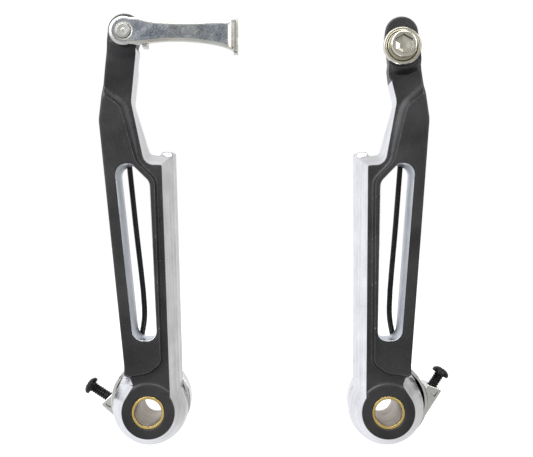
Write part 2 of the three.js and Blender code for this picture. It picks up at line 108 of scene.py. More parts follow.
HOUSING_R = 12.3
HOUSING_BACK_R = 11.0             # the cup tapers to this at the frame
HOUSING_TAPER_DEPTH = 20.0        # where that taper starts
HOUSING_WALL = 1.0
HOUSING_FLOOR = 1.8
RIM_DEPTH = ARM_DEPTH + 0.5
HUB_R = 6.6
WASHER_FRONT = ARM_DEPTH + SEAT
WASHER_BACK = WASHER_FRONT + 0.8
FLOOR_DEPTH = STACK_DEPTH - HOUSING_FLOOR

COIL_R = 8.3
COIL_TURNS = 2
COIL_PITCH = 2.3
COIL_STEPS = 48                   # per turn
WIRE_R = 0.85
LEG_DEPTH = 13.75
LEG_KINK = (-2.5, LEG_DEPTH, 27.3)
LEG_TIP = (-8.65, LEG_DEPTH, 85.0)
COIL_FRONT = LEG_DEPTH + 0.6

THREAD_PITCH = 0.75               # of the tension screws
THREAD_DEPTH = 0.36

CORNER_STEPS = 10
WALL_STEP = 1.6                   # longest straight stretch along a wall
TURN_STEPS = 96                   # faces around a turned piece


# ---- Outlines ----

def arc(centre, r, start, end, steps):
    """Points on an arc, in degrees from +x towards +z."""
    angles = np.radians(np.linspace(start, end, steps + 1))
    return [(centre[0] + r * math.cos(a), centre[1] + r * math.sin(a)) for a in angles]


def circle(centre, r, steps):
    """The points of a full circle, as a closed outline."""
    return arc(centre, r, 0, 360, steps)[:-1]


def around(steps):
    """Angles all the way round."""
    return np.arange(steps) * 2 * math.pi / steps


def round_corner(before, corner, after, r):
    """The arc that replaces a corner and touches both of its sides."""
    corner = np.array(corner[:2], float)
    a = np.array(before[:2], float) - corner
    b = np.array(after[:2], float) - corner
    a /= np.linalg.norm(a)
    b /= np.linalg.norm(b)
    half = math.acos(max(-1.0, min(1.0, float(a @ b)))) / 2
    middle = a + b
    if np.linalg.norm(middle) < 1e-6:
        return [tuple(corner)] * (CORNER_STEPS + 1)
    centre = corner + middle / np.linalg.norm(middle) * r / math.sin(half)
    start = corner + a * r / math.tan(half) - centre
    end = corner + b * r / math.tan(half) - centre
    first = math.degrees(math.atan2(start[1], start[0]))
    sweep = math.atan2(start[0] * end[1] - start[1] * end[0], float(start @ end))
    return arc(centre, r, first, first + math.degrees(sweep), CORNER_STEPS)


def outline(corners, closed=True):
    """Corners are (x, z) or (x, z, radius). An open run keeps its two ends as they are."""
    points = []
    count = len(corners)
    for i, corner in enumerate(corners):
        is_end = not closed and i in (0, count - 1)
        if len(corner) < 3 or is_end:
            points.append(tuple(corner[:2]))
            continue
        points += round_corner(corners[i - 1], corner, corners[(i + 1) % count], corner[2])
    return points


def spline(points, steps):
    """A smooth curve through the points (centripetal Catmull-Rom), `steps` pieces per stretch."""
    p = np.array(points, float)
    p = np.vstack([2 * p[0] - p[1], p, 2 * p[-1] - p[-2]])
    result = []
    for i in range(1, len(p) - 2):
        knots = [0.0]
        for k in range(3):
            knots.append(knots[-1] + math.sqrt(np.linalg.norm(p[i + k] - p[i + k - 1])))
        t0, t1, t2, t3 = knots
        for t in np.linspace(t1, t2, steps, endpoint=False):
            a1 = (t1 - t) / (t1 - t0) * p[i - 1] + (t - t0) / (t1 - t0) * p[i]
            a2 = (t2 - t) / (t2 - t1) * p[i] + (t - t1) / (t2 - t1) * p[i + 1]
            a3 = (t3 - t) / (t3 - t2) * p[i + 1] + (t - t2) / (t3 - t2) * p[i + 2]
            b1 = (t2 - t) / (t2 - t0) * a1 + (t - t0) / (t2 - t0) * a2
            b2 = (t3 - t) / (t3 - t1) * a2 + (t - t1) / (t3 - t1) * a3
            result.append((t2 - t) / (t2 - t1) * b1 + (t - t1) / (t2 - t1) * b2)
    result.append(p[-2])
    return [tuple(q) for q in result]


def travel(points):
    """How far along the path each of its points is."""
    return np.concatenate([[0], np.cumsum(np.linalg.norm(np.diff(points, axis=0), axis=1))])


def subdivide(sections, step):
    """Splits the same stretches of several matching closed outlines, none longer than step."""
    arrays = [np.array(s, float) for s in sections]
    lengths = np.max([np.linalg.norm(np.roll(a, -1, 0) - a, axis=1) for a in arrays], axis=0)
    counts = np.maximum(1, np.ceil(lengths / step)).astype(int)
    result = []
    for a in arrays:
        ahead = np.roll(a, -1, 0)
        pieces = [a[i] + (ahead[i] - a[i]) * np.arange(n)[:, None] / n
                  for i, n in enumerate(counts)]
        result.append(np.vstack(pieces))
    return result


def inset(points, amounts):
    """Moves each point of a closed outline to the left of its direction of travel."""
    p = np.array(points, float)
    along = np.roll(p, -1, 0) - np.roll(p, 1, 0)
    length = np.maximum(np.linalg.norm(along, axis=1, keepdims=True), 1e-9)
    left = np.stack([-along[:, 1], along[:, 0]], axis=1) / length
    turn = 1 if area(p) > 0 else -1
    return p + left * turn * np.reshape(amounts, (-1, 1))


def area(points):
    """Positive when the outline runs anticlockwise."""
    x, z = np.array(points, float).T
    return 0.5 * float(np.sum(x * np.roll(z, -1) - np.roll(x, -1) * z))


def inside(points, polygon):
    """For each point, whether it is inside the closed polygon."""
    x, z = np.array(points, float).T
    result = np.zeros(len(x), bool)
    ring = np.array(polygon, float)
    for (x0, z0), (x1, z1) in zip(ring, np.roll(ring, -1, 0)):
        if z0 == z1:
            continue
        crosses = (z0 > z) != (z1 > z)
        result ^= crosses & (x < (x1 - x0) * (z - z0) / (z1 - z0) + x0)
    return result


def distance(points, polygon):
    """For each point, how far inside the closed polygon it is. It is negative outside."""
    p = np.array(points, float)
    ring = np.array(polygon, float)
    nearest = np.full(len(p), 1e9)
    for a, b in zip(ring, np.roll(ring, -1, 0)):
        side = b - a
        share = np.clip(((p - a) @ side) / max(side @ side, 1e-12), 0, 1)
        nearest = np.minimum(nearest, np.linalg.norm(p - a - share[:, None] * side, axis=1))
    return np.where(inside(p, ring), nearest, -nearest)


def ease(t):
    """A soft step from 0 to 1."""
    t = np.clip(t, 0, 1)
    return t * t * (3 - 2 * t)


# ---- Frames and skins ----

class Frame:
    """One side's frame. It turns drawings in millimetres into places in the row frame."""

    def __init__(self, side, lean=0.0):
        low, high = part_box(f"{side}_pivot_bush")
        self.stud = np.array([(low.x + high.x) / 2, low.y, (low.z + high.z) / 2])
        self.mirror = 1 if side == "left" else -1
        self.lean = math.radians(lean)

    def world(self, points):
        x, depth, z = np.array(points, float).reshape(-1, 3).T * MM
        x = x * self.mirror
        c, s = math.cos(self.lean), math.sin(self.lean)
        return np.stack([x * c - z * s, depth, x * s + z * c], axis=1) + self.stud


class Skin:
    """The points and faces of one piece. `grain` is where a point lies on the tool's path: its
    third number grows across the tool lines, and the other two follow them."""

    def __init__(self):
        self.points = []
        self.grain = []
        self.faces = []
        self.finish = []

    def ring(self, points, grain=None):
        start = len(self.points)
        points = [tuple(p) for p in points]
        self.points += points
        self.grain += [tuple(g) for g in grain] if grain is not None else points
        return list(range(start, len(self.points)))

    def face(self, indices, finish=0):
        self.faces.append(tuple(indices))
        self.finish.append(finish)

    def band(self, a, b, finish=0):
        """Quads between two rings. `finish` is one number, or one for each quad."""
        for i in range(len(a)):
            j = (i + 1) % len(a)
            kind = finish if np.isscalar(finish) else finish[i]
            self.face((a[i], a[j], b[j], b[i]), kind)

    def cap(self, outer, holes, depth, spacing, finish=0, guides=()):
        """Fills the region between rings with triangles. `depth` gives the depth at (x, z)."""
        rings = [outer, *holes]
        indices = [i for ring in rings for i in ring]
        shapes = [[(self.points[i][0], self.points[i][2]) for i in ring] for ring in rings]
        flat = [point for shape in shapes for point in shape]
        edges = []
        start = 0
        for ring in rings:
            count = len(ring)
            edges += [(start + k, start + (k + 1) % count) for k in range(count)]
            start += count
        box = np.array(shapes[0])
        gx = np.arange(box[:, 0].min(), box[:, 0].max(), spacing)
        gz = np.arange(box[:, 1].min(), box[:, 1].max(), spacing)
        grid = np.array([(x + (0.5 * spacing if k % 2 else 0), z)
                         for k, z in enumerate(gz) for x in gx])
        extra = np.vstack([*guides, grid]) if len(guides) else grid
        keep = distance(extra, shapes[0]) > 0.35 * spacing
        for hole in shapes[1:]:
            keep &= distance(extra, hole) < -0.35 * spacing
        extra = extra[keep]
        points = [Vector(p) for p in flat] + [Vector(p) for p in extra]
        out, _, triangles, origin, _, _ = delaunay_2d_cdt(points, edges, [], 0, 1e-7)
        place = np.array([p[:] for p in out])
        depths = depth(place)
        own = []
        for k, source in enumerate(origin):
            boundary = [s for s in source if s < len(flat)]
            if boundary:
                own.append(indices[boundary[0]])
            else:
                own.append(self.ring([(place[k, 0], depths[k], place[k, 1])])[0])
        middle = np.array([place[list(t)].mean(axis=0) for t in triangles])
        used = inside(middle, shapes[0])
        for hole in shapes[1:]:
            used &= ~inside(middle, hole)
        for keep_it, t in zip(used, triangles):
            if keep_it:
                self.face([own[k] for k in t], finish)


def lathe(skin, profile, centre=(0.0, 0.0), finish=0, closed=False, steps=TURN_STEPS):
    """Turns a profile of (radius, depth) or (radius, depth, corner radius) about a line."""
    points = outline(profile, closed)
    rings = []
    for (r, depth), s in zip(points, travel(points)):
        x, z = r * np.cos(around(steps)), r * np.sin(around(steps))
        place = np.stack([centre[0] + x, np.full(steps, depth), centre[1] + z], axis=1)
        grain = np.stack([x, z, np.full(steps, s)], axis=1)
        rings.append(skin.ring(place, grain))
    for a, b in zip(rings, rings[1:]):
        skin.band(a, b, finish)
    if closed:
        skin.band(rings[-1], rings[0], finish)


# Where the rings of a rounded edge are, in degrees from the wall (0) to the flat face (90).
SOFT_EDGE = [90, 67, 45, 22, 0]
PLAIN_EDGE = [90, 60, 30, 0]


def rounded_edge(path, inward, level, drop, degrees):
    """Rings over an edge, from the flat face at `level` to the wall, `drop` further back. At the
    back of a piece `drop` is negative."""
    return [(inset(path, inward * (1 - math.cos(a))), level + drop * (1 - math.sin(a)))
            for a in np.radians(degrees)]


def wall(points, depths, along=None):
    """Places on a plate's wall, with the grain running along its edge."""
    along = travel(points) if along is None else along
    places = np.stack([points[:, 0], depths, points[:, 1]], axis=1)
    return places, np.stack([along, np.zeros(len(along)), depths], axis=1)


def slab(skin, edge, holes, front, back, rounding=(0.3, 0.3), height=None, spacing=2.0,
         finish=0, turn=None, wall_finish=None):
    """A plate with rounded edges. `rounding` is how far its edges go inward and back. `height`
    gives how much further back the front face lies at (x, z), and `turn` moves the whole plate."""
    inward, drop = rounding
    wall_finish = finish if wall_finish is None else wall_finish
    height = height or (lambda xz: np.zeros(len(xz)))
    first = len(skin.points)
    front_rings = []
    back_rings = []
    for path, sign in [(edge, 1), *[(hole, -1) for hole in holes]]:
        path = subdivide([path], WALL_STEP)[0]
        r = sign * (inward(path) if callable(inward) else inward)
        rings = rounded_edge(path, r, front + height(path), drop, SOFT_EDGE)
        rings += rounded_edge(path, r, np.full(len(path), back), -drop, SOFT_EDGE)[::-1]
        along = travel(path)
        ids = [skin.ring(*wall(place, depths, along)) for place, depths in rings]
        for a, b in zip(ids, ids[1:]):
            skin.band(a, b, wall_finish)
        front_rings.append(ids[0])
        back_rings.append(ids[-1])
    skin.cap(front_rings[0], front_rings[1:], lambda xz: front + height(xz), spacing, finish)
    skin.cap(back_rings[0], back_rings[1:], lambda xz: np.full(len(xz), back), spacing, finish)
    if turn:
        skin.points[first:] = [turn(*p) for p in skin.points[first:]]


SHARP = 32                        # degrees; a sharper edge is shaded as an edge


def in_scene(name, data):
    obj = bpy.data.objects.new(name, data)
    bpy.context.scene.collection.objects.link(obj)
    return obj


def new_object(name, skin, where, finishes, sharp=SHARP):
    """Makes a mesh object from a skin, with smooth shading except over sharp edges."""
    mesh = bpy.data.meshes.new(name)
    mesh.from_pydata([tuple(p) for p in where.world(skin.points)], [], skin.faces)
    grain = mesh.attributes.new("grain", "FLOAT_VECTOR", "POINT")
    grain.data.foreach_set("vector", (np.array(skin.grain, float) * MM).ravel())
    for finish in finishes:
        mesh.materials.append(finish)
    mesh.polygons.foreach_set("material_index", skin.finish)
    tidy(mesh, sharp)
    return in_scene(name, mesh)


def drawn(name, where, finishes, draw, *details, **options):
    """Makes an object from one drawing, a lathe or a slab."""
    skin = Skin()
    draw(skin, *details, **options)
    return new_object(name, skin, where, finishes)


def tidy(mesh, sharp=SHARP):
    """Joins doubled points, turns faces outwards and marks the sharp edges."""
    shape = bmesh.new()
    shape.from_mesh(mesh)
    bmesh.ops.remove_doubles(shape, verts=shape.verts, dist=2e-7)
    bmesh.ops.dissolve_degenerate(shape, edges=shape.edges, dist=1e-7)
    bmesh.ops.recalc_face_normals(shape, faces=shape.faces)
    limit = math.radians(sharp)
    for edge in shape.edges:
        edge.smooth = edge.calc_face_angle(0.0) < limit
    for face in shape.faces:
        face.smooth = True
    shape.to_mesh(mesh)
    shape.free()


def combine(target, tool, operation):
    """Adds a tool object to a target object or takes it away, and removes the tool."""
    modifier = target.modifiers.new("combine", "BOOLEAN")
    modifier.operation = operation
    modifier.object = tool
    modifier.solver = "EXACT"
    depsgraph = bpy.context.evaluated_depsgraph_get()
    mesh = bpy.data.meshes.new_from_object(target.evaluated_get(depsgraph))
    target.modifiers.clear()
    target.data = mesh
    bpy.data.objects.remove(tool)
    tidy(mesh)


def install(obj, body, node):
    """Puts a finished piece in place of its CAD node, riding on a body."""
    modifier = obj.modifiers.new("even shading", "WEIGHTED_NORMAL")
    modifier.keep_sharp = True
    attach(obj, body)
    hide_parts(node)


# ---- Materials ----

class Nodes:
    """A short way to write a node material."""

    def __init__(self, block):
        block.use_nodes = True
        self.material = block
        self.tree = block.node_tree
        self.shader = self.tree.nodes.get("Principled BSDF") or self.tree.nodes["Background"]

    def add(self, kind, **inputs):
        return self.fill(self.tree.nodes.new(kind), inputs)

    def fill(self, node, inputs):
        for key, value in inputs.items():
            self.put(node.inputs[key.replace("_", " ")], value)
        return node

    def put(self, socket, value):
        """Gives an input a link or a value. A colour is written (red, green, blue)."""
        if isinstance(value, bpy.types.NodeSocket):
            self.tree.links.new(value, socket)
        elif socket.type == "RGBA":
            socket.default_value = (*value, 1.0)
        else:
            socket.default_value = value

    def place(self):
        return self.add("ShaderNodeTexCoord").outputs["Object"]

    def grain(self):
        node = self.add("ShaderNodeAttribute")
        node.attribute_name = "grain"
        return node.outputs["Vector"]

    def stretch(self, vector, scale):
        node = self.add("ShaderNodeMapping", Vector=vector, Scale=scale)
        return node.outputs["Vector"]

    def noise(self, vector, scale, detail=3.0, rough=0.5):
        node = self.add("ShaderNodeTexNoise", Vector=vector, Scale=scale, Detail=detail,
                        Roughness=rough)
        return node.outputs["Fac"]

    def ramp(self, factor, low, high, start=0.3, end=0.7):
        node = self.add("ShaderNodeValToRGB", Fac=factor)
        for stop, position, value in zip(node.color_ramp.elements, (start, end), (low, high)):
            stop.position = position
            stop.color = (*value, 1.0)
        return node.outputs["Color"]

    def mix(self, factor, a, b):
        node = self.add("ShaderNodeMix")
        node.data_type = "RGBA"
        first, second = [socket for socket in node.inputs if socket.type == "RGBA"]
        self.put(node.inputs["Factor"], factor)
        self.put(first, a)
        self.put(second, b)
        return next(socket for socket in node.outputs if socket.type == "RGBA")

    def math(self, operation, a, b=0.0, kind="ShaderNodeMath"):
        node = self.add(kind)
        node.operation = operation
        self.put(node.inputs[0], a)
        self.put(node.inputs[1], b)
        return node.outputs["Value"]

    def scaled(self, value, factor, offset=0.0):
        """The value times the factor, plus the offset."""
        return self.math("ADD", self.math("MULTIPLY", value, factor), offset)

    def dot(self, a, b):
        return self.math("DOT_PRODUCT", a, b, "ShaderNodeVectorMath")

    def bump(self, height, strength, size):
        node = self.add("ShaderNodeBump", Height=height, Strength=strength, Distance=size)
        return node.outputs["Normal"]

    def stained(self, base, share, tint, patches, start, end):
        """Mixes a tint into a colour, in soft patches."""
        patch = self.ramp(patches, (0, 0, 0), (1, 1, 1), start, end)
        return self.mix(self.math("MULTIPLY", patch, share), base, tint)

    def done(self, **inputs):
        """Fills in the shader and gives the finished material."""
        self.fill(self.shader, inputs)
        return self.material

    def edges(self, size):
        """A mask that is bright along edges. It stands both for rubbed metal and for a painted
        highlight where an edge catches the light.
        """
        bevel = self.add("ShaderNodeBevel", Radius=size)
        bevel.samples = 4
        flat = self.add("ShaderNodeNewGeometry")
        same = self.dot(bevel.outputs["Normal"], flat.outputs["Normal"])
        return self.math("SUBTRACT", 1.0, same)


def anodised(name, dark, light, rough):
    """Black anodised alloy: satin, with a fine blasted grain, and edges lightened partly as rubbed
    metal and partly as a painted highlight along edges and steps.
    """
    n = Nodes(bpy.data.materials.new(name))
    place = n.place()
    cloud = n.noise(place, 90.0, 4.0)
    speck = n.noise(place, 3200.0, 2.0)
    base = n.ramp(cloud, dark, light)
    base = n.mix(n.math("MULTIPLY", n.math("GREATER_THAN", speck, 0.66), 0.35), base,
                 (0.16, 0.16, 0.165))
    # Edges and the panel's steps are lightened towards grey: partly rubbed metal, partly a painted
    # highlight.
    wear_and_highlight = n.math("MULTIPLY", n.edges(0.00022), 4.0)
    base = n.mix(n.math("MINIMUM", wear_and_highlight, 0.7), base, (0.36, 0.35, 0.35))
    return n.done(Base_Color=base, Metallic=0.72, Roughness=n.scaled(cloud, 0.16, rough),
                  Normal=n.bump(n.noise(place, 2600.0, 3.0, 0.6), 0.35, 0.00005))


def machined(name, dark, light, rough, lines=0.5, pitch=5200.0, tint=0.0):
    """Bare metal with the fine lines that a tool leaves. `lines` is how strong they are, `pitch`
    how close, and `tint` how much of it is stained."""
    n = Nodes(bpy.data.materials.new(name))
    path = n.stretch(n.grain(), (60.0, 60.0, pitch))
    fine = n.noise(path, 1.0, 3.0, 0.6)
    coarse = n.noise(n.stretch(n.grain(), (30.0, 30.0, pitch / 4)), 1.0, 2.0, 0.5)
    cloud = n.noise(n.place(), 140.0, 4.0, 0.6)
    both = n.scaled(coarse, 0.5, n.scaled(cloud, 0.5))
    base = n.ramp(both, dark, light, 0.3, 0.62)
    if tint:
        patches = n.noise(n.place(), 60.0)
        base = n.stained(base, tint, (0.46, 0.40, 0.24), patches, 0.5, 0.75)
    return n.done(Base_Color=base, Metallic=1.0, Roughness=n.scaled(coarse, 0.12, rough - 0.06),
                  Normal=n.bump(fine, lines, 0.00003))


def mottled(name):
    """Nickel plate over a pressed surface: blue-grey, speckled and pitted."""
    n = Nodes(bpy.data.materials.new(name))
    place = n.place()
    speck = n.noise(place, 2200.0, 5.0, 0.7)
    patch = n.noise(place, 420.0, 3.0, 0.55)
    both = n.scaled(speck, 0.75, n.scaled(patch, 0.25))
    base = n.ramp(both, (0.13, 0.15, 0.19), (0.42, 0.44, 0.46), 0.38, 0.66)
    patches = n.noise(place, 95.0, 2.0)
    base = n.stained(base, 0.2, (0.40, 0.37, 0.25), patches, 0.56, 0.74)
    return n.done(Base_Color=base, Metallic=1.0, Roughness=n.scaled(patch, 0.3, 0.2),
                  Normal=n.bump(speck, 0.55, 0.00006))


def coated(name, dark, light, metallic, rough, scale=900.0, strength=0.3):
    """A thin coating over metal or plastic, with a slight unevenness."""
    n = Nodes(bpy.data.materials.new(name))
    place = n.place()
    cloud = n.noise(place, scale / 6)
    base = n.ramp(cloud, dark, light)
    # Edges and thread crests are lightened towards grey: partly rubbed metal, partly a painted
    # highlight.
    wear_and_highlight = n.math("MINIMUM", n.math("MULTIPLY", n.edges(0.00015), 1.2), 0.5)
    base = n.mix(wear_and_highlight, base, (0.30, 0.29, 0.28))
    return n.done(Base_Color=base, Metallic=metallic, Roughness=n.scaled(cloud, 0.2, rough),
                  Normal=n.bump(n.noise(place, scale), strength, 0.00004))


# Each finish has its darkest and its lightest colour, and then its roughness.
BLACK = anodised("black_anodised", (0.032, 0.032, 0.034), (0.058, 0.058, 0.060), 0.36)
BEVEL = machined("machined_bevel", (0.62, 0.62, 0.63), (0.88, 0.88, 0.89), 0.24)
WINDOW = machined("machined_window", (0.48, 0.52, 0.58), (0.78, 0.81, 0.86), 0.3, 0.3)
BRASS = machined("turned_brass", (0.66, 0.44, 0.12), (0.93, 0.72, 0.30), 0.22, 0.25)
BORE = machined("worn_bronze", (0.17, 0.12, 0.07), (0.50, 0.43, 0.35), 0.34, 0.4,
                2200.0, 0.7)
CHROME = machined("bright_plate", (0.66, 0.66, 0.65), (0.90, 0.90, 0.88), 0.16, 0.12)
YELLOW_CHROME = machined("warm_plate", (0.46, 0.44, 0.37), (0.80, 0.78, 0.69), 0.2,
                         0.2, 3800.0, 0.3)
NICKEL = mottled("mottled_nickel")
NICKEL_RIM = machined("smooth_nickel", (0.42, 0.42, 0.40), (0.74, 0.74, 0.71), 0.3,
                      0.35, 3000.0, 0.35)
OXIDE = coated("black_oxide", (0.012, 0.012, 0.013), (0.05, 0.048, 0.046), 0.8, 0.2)
SPRING = coated("spring_black", (0.006, 0.006, 0.007), (0.02, 0.02, 0.021), 0.3, 0.14,
                500.0, 0.15)
LINK_FINISHES = [NICKEL, NICKEL_RIM, YELLOW_CHROME]
STEEL = machined("plain_steel", (0.45, 0.45, 0.46), (0.70, 0.70, 0.70), 0.3, 0.3)
NYLON = coated("black_nylon", (0.015, 0.015, 0.016), (0.03, 0.03, 0.031), 0.0, 0.5)


# ---- The arms ----

# The long window.
SLOT = outline([
    (-9.75, 73.9, 3.1),
    (-4.9, 73.9, 1.6),
    (0.55, 68.6, 3.4),
    (2.75, 21.6, 2.8),
    (-4.2, 21.6, 3.2),
])

# The raised panel, drawn past the arm's outer edge so that its step runs off that edge.
PANEL = outline([
    (-30.0, 107.5),
    (-8.2, 91.0, 5),
    (-3.6, 74.6, 6),
    (2.0, 69.2, 4),
    (3.9, 15.0, 2.6),
    (0.4, 12.0, 6),
    (-6.3, 10.9),
    (-30.0, 10.9),
])


# What changes in the arm's outline from the front to the back: at the front face, at the end of
# the machined bevel, where the ledge's lip has its full height, and at the back face. `boss` is
# the x of its centre and the radius of the round about the bore. The round starts where the inner
# side reaches x `low`, and ends at the angle `boss_end`.
EDGES = {
    "front": {
        "taper": 0.0, "boss": (0, 7.95), "low": 6.5, "boss_end": -216,
        "notch": [(-4.5, 7.9, 0.9), (-5.4, 10.2, 0.7)],
        "neck_top": -3.4, "neck": [(-5.2, 92.6, 6), (-1.2, 74.3, 3.4)],
        "lip": [(1.0, 73.82, 0.3), (2.6, 73.80, 0.3)], "shoulder": (4.0, 73.7, 0.5)},
    "bevel": {
        "taper": HEAD_TAPER, "boss": (-0.5, 11.2), "low": 8.8, "boss_end": -210,
        "notch": [(-9.5, 7.5, 0.9), (-8.6, 9.1, 0.7)],
        "neck_top": -3.4, "neck": [(-5.2, 92.6, 6), (-0.5, 77.4, 1.6)],
        "lip": [(2.4, 76.98, 0.3), (4.6, 76.92, 0.3)], "shoulder": (6.4, 76.8, 0.8)},
    "lip": {
        "taper": HEAD_TAPER, "boss": (-0.53, 11.35), "low": 8.9, "boss_end": -210,
        "notch": [(-9.55, 7.53, 0.9), (-8.65, 9.13, 0.7)],
        "neck_top": -3.45, "neck": [(-5.25, 92.6, 6), (-0.5, 77.4, 1.6)],
        "lip": [(2.7, 77.0, 0.5), (3.1, 78.3, 0.9)], "shoulder": (6.7, 78.3, 1.1)},
    "back": {
        "taper": HEAD_TAPER, "boss": (-0.6, 11.7), "low": 9.4, "boss_end": -211,
        "notch": [(-9.9, 7.7, 0.9), (-8.9, 9.3, 0.7)],
        "neck_top": -3.6, "neck": [(-5.4, 92.6, 6), (-0.6, 77.4, 1.6)],
        "lip": [(2.7, 77.0, 0.5), (3.1, 78.3, 0.9)], "shoulder": (7.2, 78.3, 1.1)},
}
OUTER_ROOT = (-7.0, 11.2, 0.6)    # where the outer side leaves the notch


def arm_outline(side, edge):
    """The arm's edge at one depth, from the outer side of the notch, up over the head, down the
    inner side and round the boss. Also says where the bare metal starts, at the neck's top."""
    head = HEADS[side]
    x, z, r = head["at"][0] - edge["taper"], head["at"][1], head["r"] - edge["taper"]
    boss, boss_r = (edge["boss"][0], 0), edge["boss"][1]
    start = math.degrees(math.acos((edge["low"] - boss[0]) / boss_r))
    boss_arc = arc(boss, boss_r, start, edge["boss_end"], 44)
    outer = outline([edge["notch"][1], OUTER_ROOT, (-7.0, 14.0), (-14.55, 87.0, 9), (x - r, z)],
                    closed=False)[1:-1]
    dome = arc((x, z), r, 180, 0, 28)
    inner = outline([(x + r, z), (x + r - head["lean"], head["foot"], 0.3),
                     (edge["neck_top"] + head["neck"], head["foot"] - NECK_STEP, 0.3),
                     *edge["neck"], *edge["lip"], edge["shoulder"], boss_arc[0]],
                    closed=False)[1:-1]
    hollow = outline([boss_arc[-1], *edge["notch"], OUTER_ROOT[:2]], closed=False)[1:-1]
    bare_from = len(outer) + len(dome) + CORNER_STEPS + 1
    return [*outer, *dome, *inner, *boss_arc, *hollow], bare_from


HOOK_PIN = {"at": (-10.6, 80.5), "r": 1.5, "front": 8.0, "back": 16.2}
RIVET = {"at": (-6.7, 112.7), "r": 2.25, "shank": 1.9, "peen": 2.9}
ANCHOR = {"at": (-6.7, 108.2), "shank": 2.95, "head": 3.85, "height": 3.9, "flats": 5.0}


def arm_front(xz, side):
    """How far back the front face lies at each (x, z)."""
    x, z = xz[:, 0], xz[:, 1]
    top = HEADS[side]
    # The strip beside the panel sinks a little up the neck, and may rise again to the head.
    level = STRIP_DROP + 0.45 * ease((z - 76) / 22) - top["ramp"] * ease((z - 92) / 14)
    # The panel's step is a hollow curve, which is wider along the neck.
    step_width = 0.9 + 2.0 * ease((z - 72) / 16)
    in_panel = distance(xz, PANEL)
    panel = np.where(in_panel > 0, 1.0, (1 - np.clip(-in_panel / step_width, 0, 1)) ** 2)
    boss = 1 - ease((np.hypot(x, z) - BOSS_FACE_R) / BOSS_STEP)
    from_head = np.hypot(x - top["boss"][0], z - top["boss"][1])
    above = z > top["boss"][1]
    head = np.where(above, 1.0, 1 - ease((from_head - top["boss_r"]) / top["boss_slope"]))
    rises = [panel * (level + PANEL_RISE), boss * level, head * (level + HEAD_RISE)]
    return level - np.max(rises, axis=0)


def arm_back(xz):
    """How far back the back face lies at each (x, z)."""
    return HEAD_DEPTH + (ARM_DEPTH - HEAD_DEPTH) * ease((HEAD_BACK_FOOT - xz[:, 1]) / 1.2 + 0.5)


def arm_guides(side):
    """Points that follow the steps of the front face, so that the mesh does too."""
    rows = [subdivide([inset(PANEL, -offset)], 0.5)[0]
            for offset in (-0.25, -0.02, 0.1, 0.3, 0.6, 1.0, 1.6, 2.3)]
    for r in (0.0, 0.2, 0.4, BOSS_STEP):
        rows.append(np.array(arc((0, 0), BOSS_FACE_R + r, 20, 170, 70)))
    head = HEADS[side]
    for share in np.linspace(0, 1, 5):
        rows.append(np.array(arc(head["boss"], head["boss_r"] + share * head["boss_slope"],
                                 -175, -5, 50)))
    return rows


